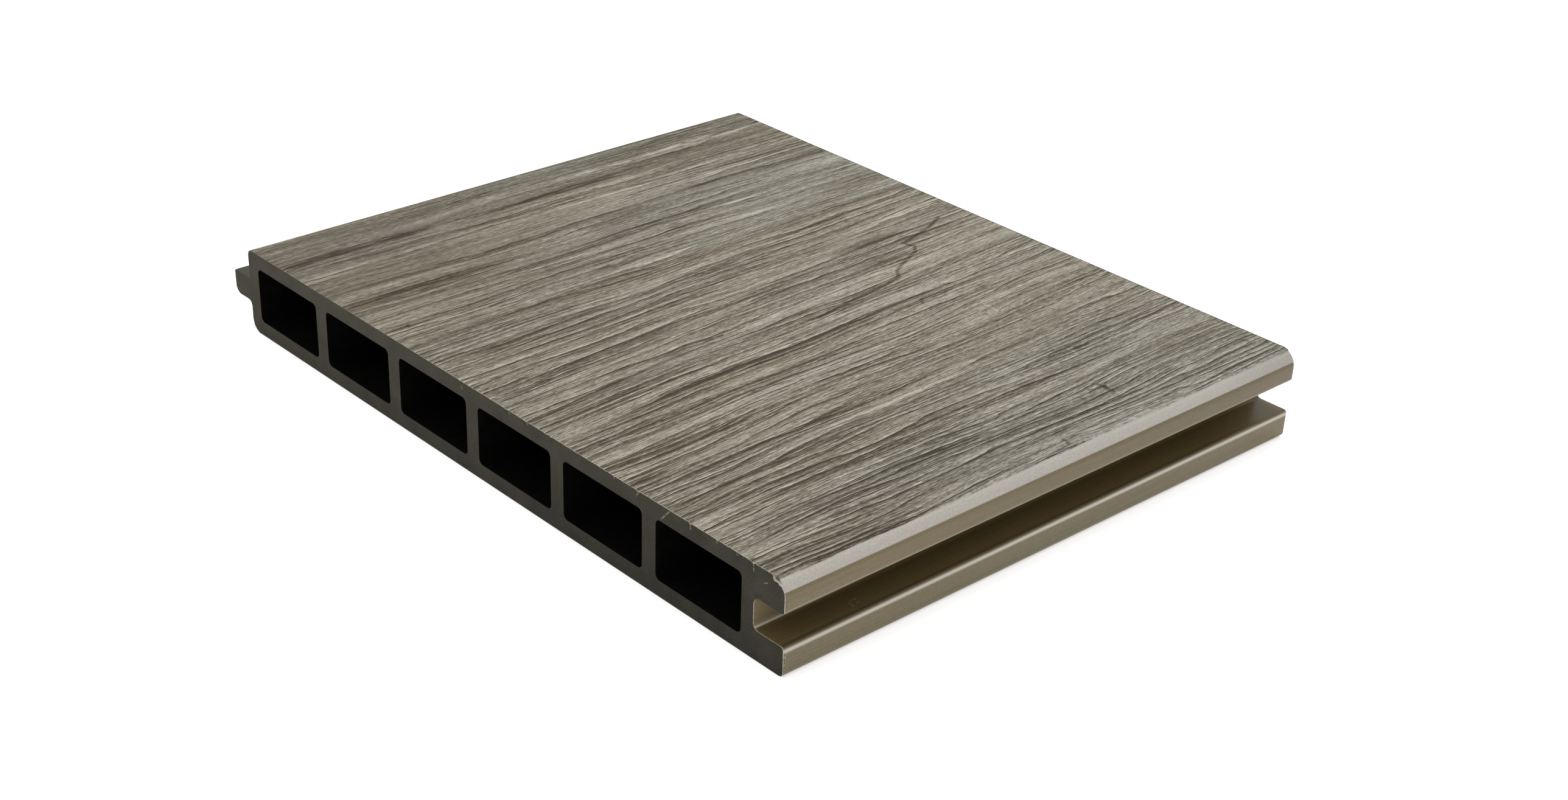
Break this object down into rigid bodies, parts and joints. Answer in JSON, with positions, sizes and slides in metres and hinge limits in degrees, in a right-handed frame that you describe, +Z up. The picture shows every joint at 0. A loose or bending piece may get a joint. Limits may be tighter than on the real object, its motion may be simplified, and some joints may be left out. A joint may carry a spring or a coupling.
{
  "type": "composite fence board",
  "caption": "Hollow extruded composite fence board, with a wood-grain face, a tongue along one edge and a matching groove along the other, sawn to a short length.",
  "frame": {"origin": "middle of the underside of the whole board, tongue included", "axes": "+X along the board, away from the sawn end that the picture shows; +Y across the board, from the groove to the tongue; +Z up, out of the grained face"},
  "size_m": [0.1436, 0.1866, 0.02],
  "materials": {
    "composite": "matt extruded wood-plastic composite in warm grey, with an embossed wood-grain face"
  },
  "bodies": {
    "root": {"fence_board": "composite"}
  },
  "joints": []
}
